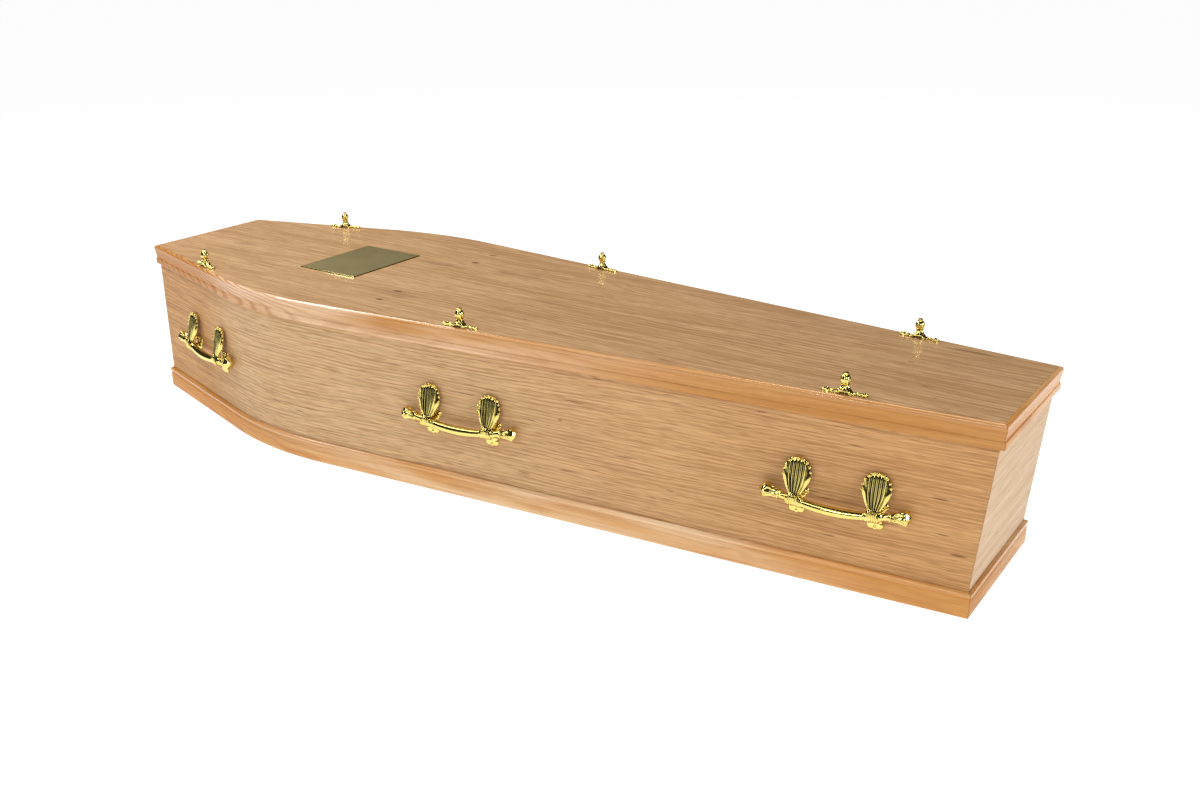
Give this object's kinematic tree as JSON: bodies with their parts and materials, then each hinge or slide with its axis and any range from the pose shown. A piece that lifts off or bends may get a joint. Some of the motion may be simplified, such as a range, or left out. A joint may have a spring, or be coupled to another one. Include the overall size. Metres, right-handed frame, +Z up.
{
  "type": "wooden coffin",
  "caption": "Closed six-sided wooden coffin with bent shoulders, moulded lid and base edges, brass bar handles, wreath holders, thumb screws and a plain nameplate.",
  "frame": {"origin": "on the floor under the middle of the lid", "axes": "+X towards the foot end, +Y to the coffin's left as it lies face up, +Z up"},
  "size_m": [1.93, 0.5796, 0.3722],
  "materials": {
    "oak_veneer": "satin lacquered oak veneer",
    "oak_timber": "gloss lacquered oak",
    "polished_brass": "polished",
    "plate_brass": "satin, dull olive brass"
  },
  "bodies": {
    "root": {"lid_board": "oak_veneer", "side_board_left": "oak_veneer", "side_board_right": "oak_veneer", "head_end_board": "oak_veneer", "foot_end_board": "oak_veneer", "base_board": "oak_veneer", "lid_moulding_left": "oak_timber", "lid_moulding_right": "oak_timber", "lid_moulding_head": "oak_timber", "lid_moulding_foot": "oak_timber", "base_moulding_left": "oak_timber", "base_moulding_right": "oak_timber", "base_moulding_head": "oak_timber", "base_moulding_foot": "oak_timber", "handle_left_head": "polished_brass", "wreath_holder_left_head": "polished_brass", "thumb_screw_left_head": "polished_brass", "handle_left_middle": "polished_brass", "wreath_holder_left_middle": "polished_brass", "thumb_screw_left_middle": "polished_brass", "handle_left_foot": "polished_brass", "wreath_holder_left_foot": "polished_brass", "thumb_screw_left_foot": "polished_brass", "handle_right_head": "polished_brass", "wreath_holder_right_head": "polished_brass", "thumb_screw_right_head": "polished_brass", "handle_right_middle": "polished_brass", "wreath_holder_right_middle": "polished_brass", "thumb_screw_right_middle": "polished_brass", "handle_right_foot": "polished_brass", "wreath_holder_right_foot": "polished_brass", "thumb_screw_right_foot": "polished_brass", "nameplate": "plate_brass"}
  },
  "joints": []
}
